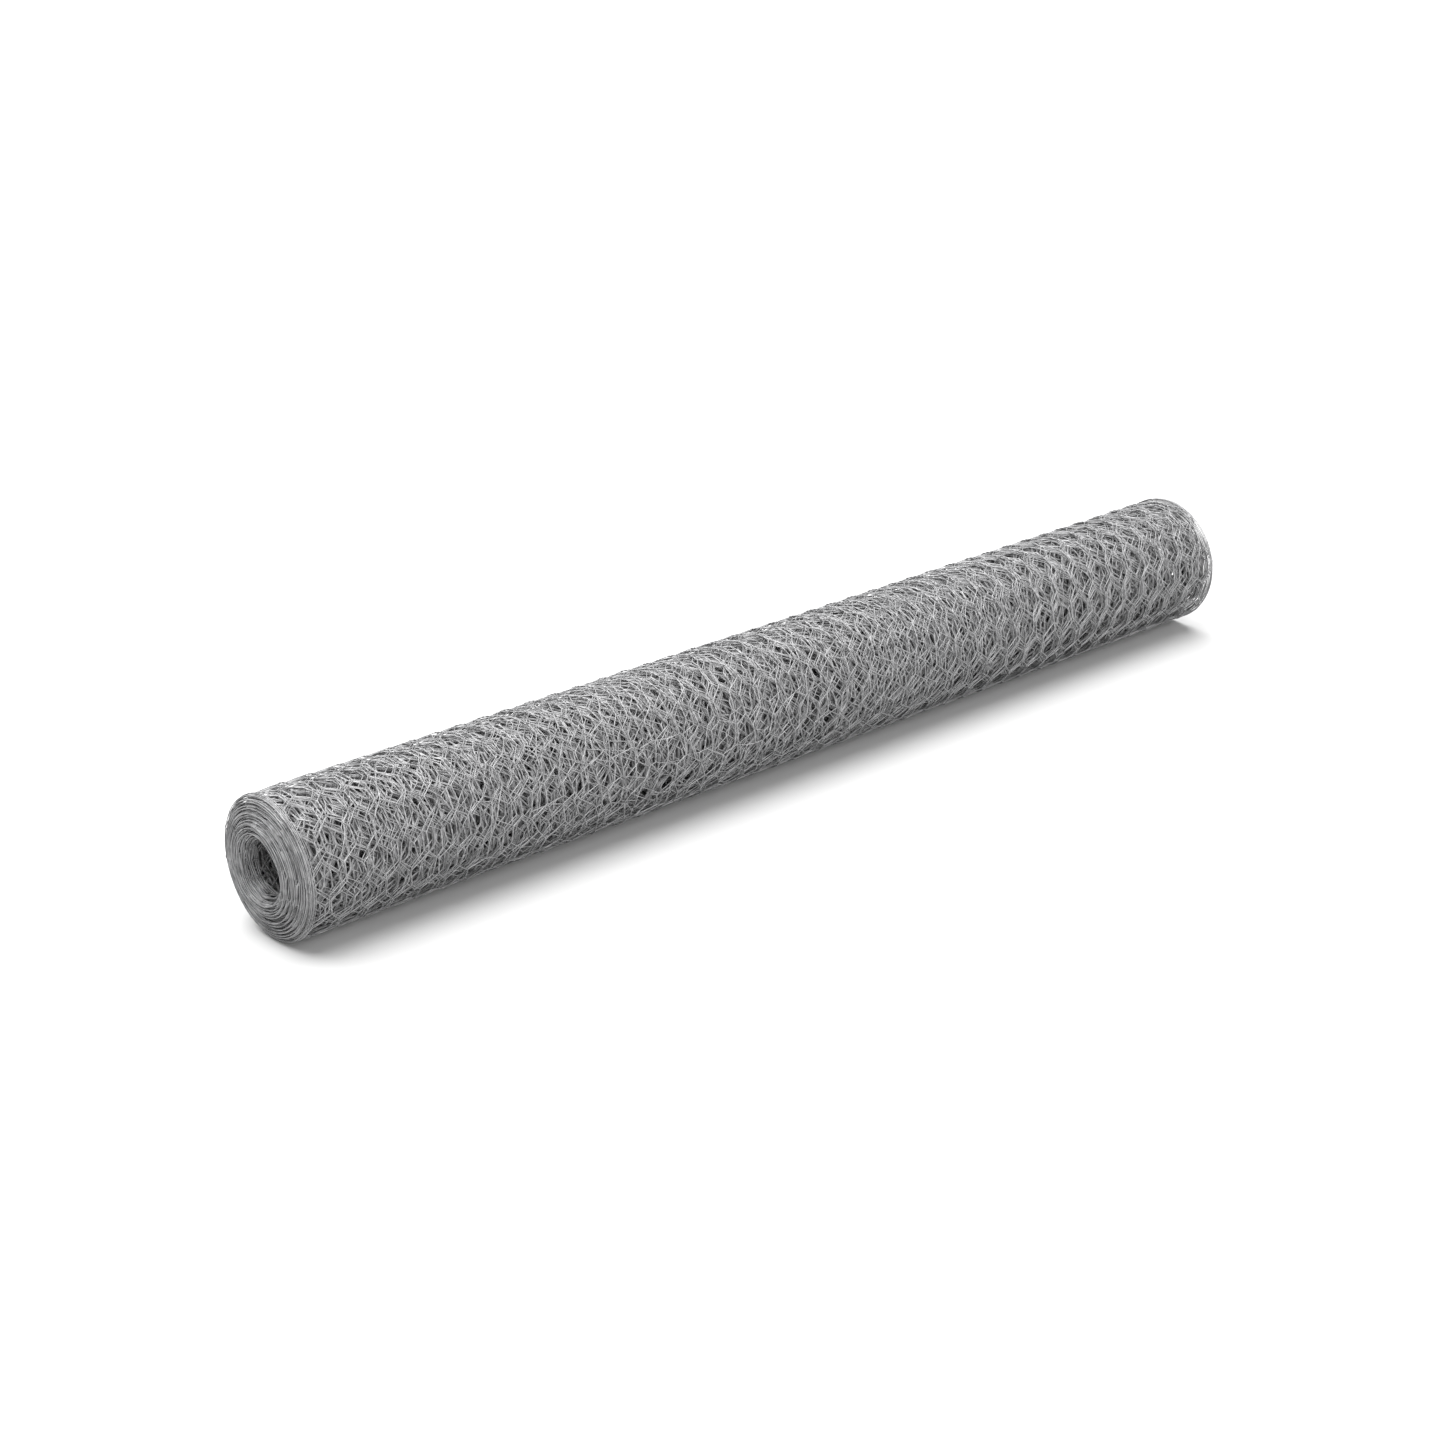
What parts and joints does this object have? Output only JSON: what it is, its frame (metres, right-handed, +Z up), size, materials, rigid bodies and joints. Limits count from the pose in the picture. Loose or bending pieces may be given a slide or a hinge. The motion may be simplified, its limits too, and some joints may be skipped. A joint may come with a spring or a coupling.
{
  "type": "roll of hexagonal wire netting",
  "caption": "Roll of galvanised hexagonal wire netting wound into an open-bored tube, lying on its side, to be cut to length for fences, pens and plant guards.",
  "frame": {"origin": "on the floor, under the middle of the roll", "axes": "+X along the roll's axis, from the end where the inner turns stand out to the end where they sit back; +Z up"},
  "size_m": [1.011, 0.1157, 0.1158],
  "materials": {
    "galvanised_wire": "galvanised steel wire, satin grey"
  },
  "bodies": {
    "root": {"netting_roll": "galvanised_wire"}
  },
  "joints": []
}
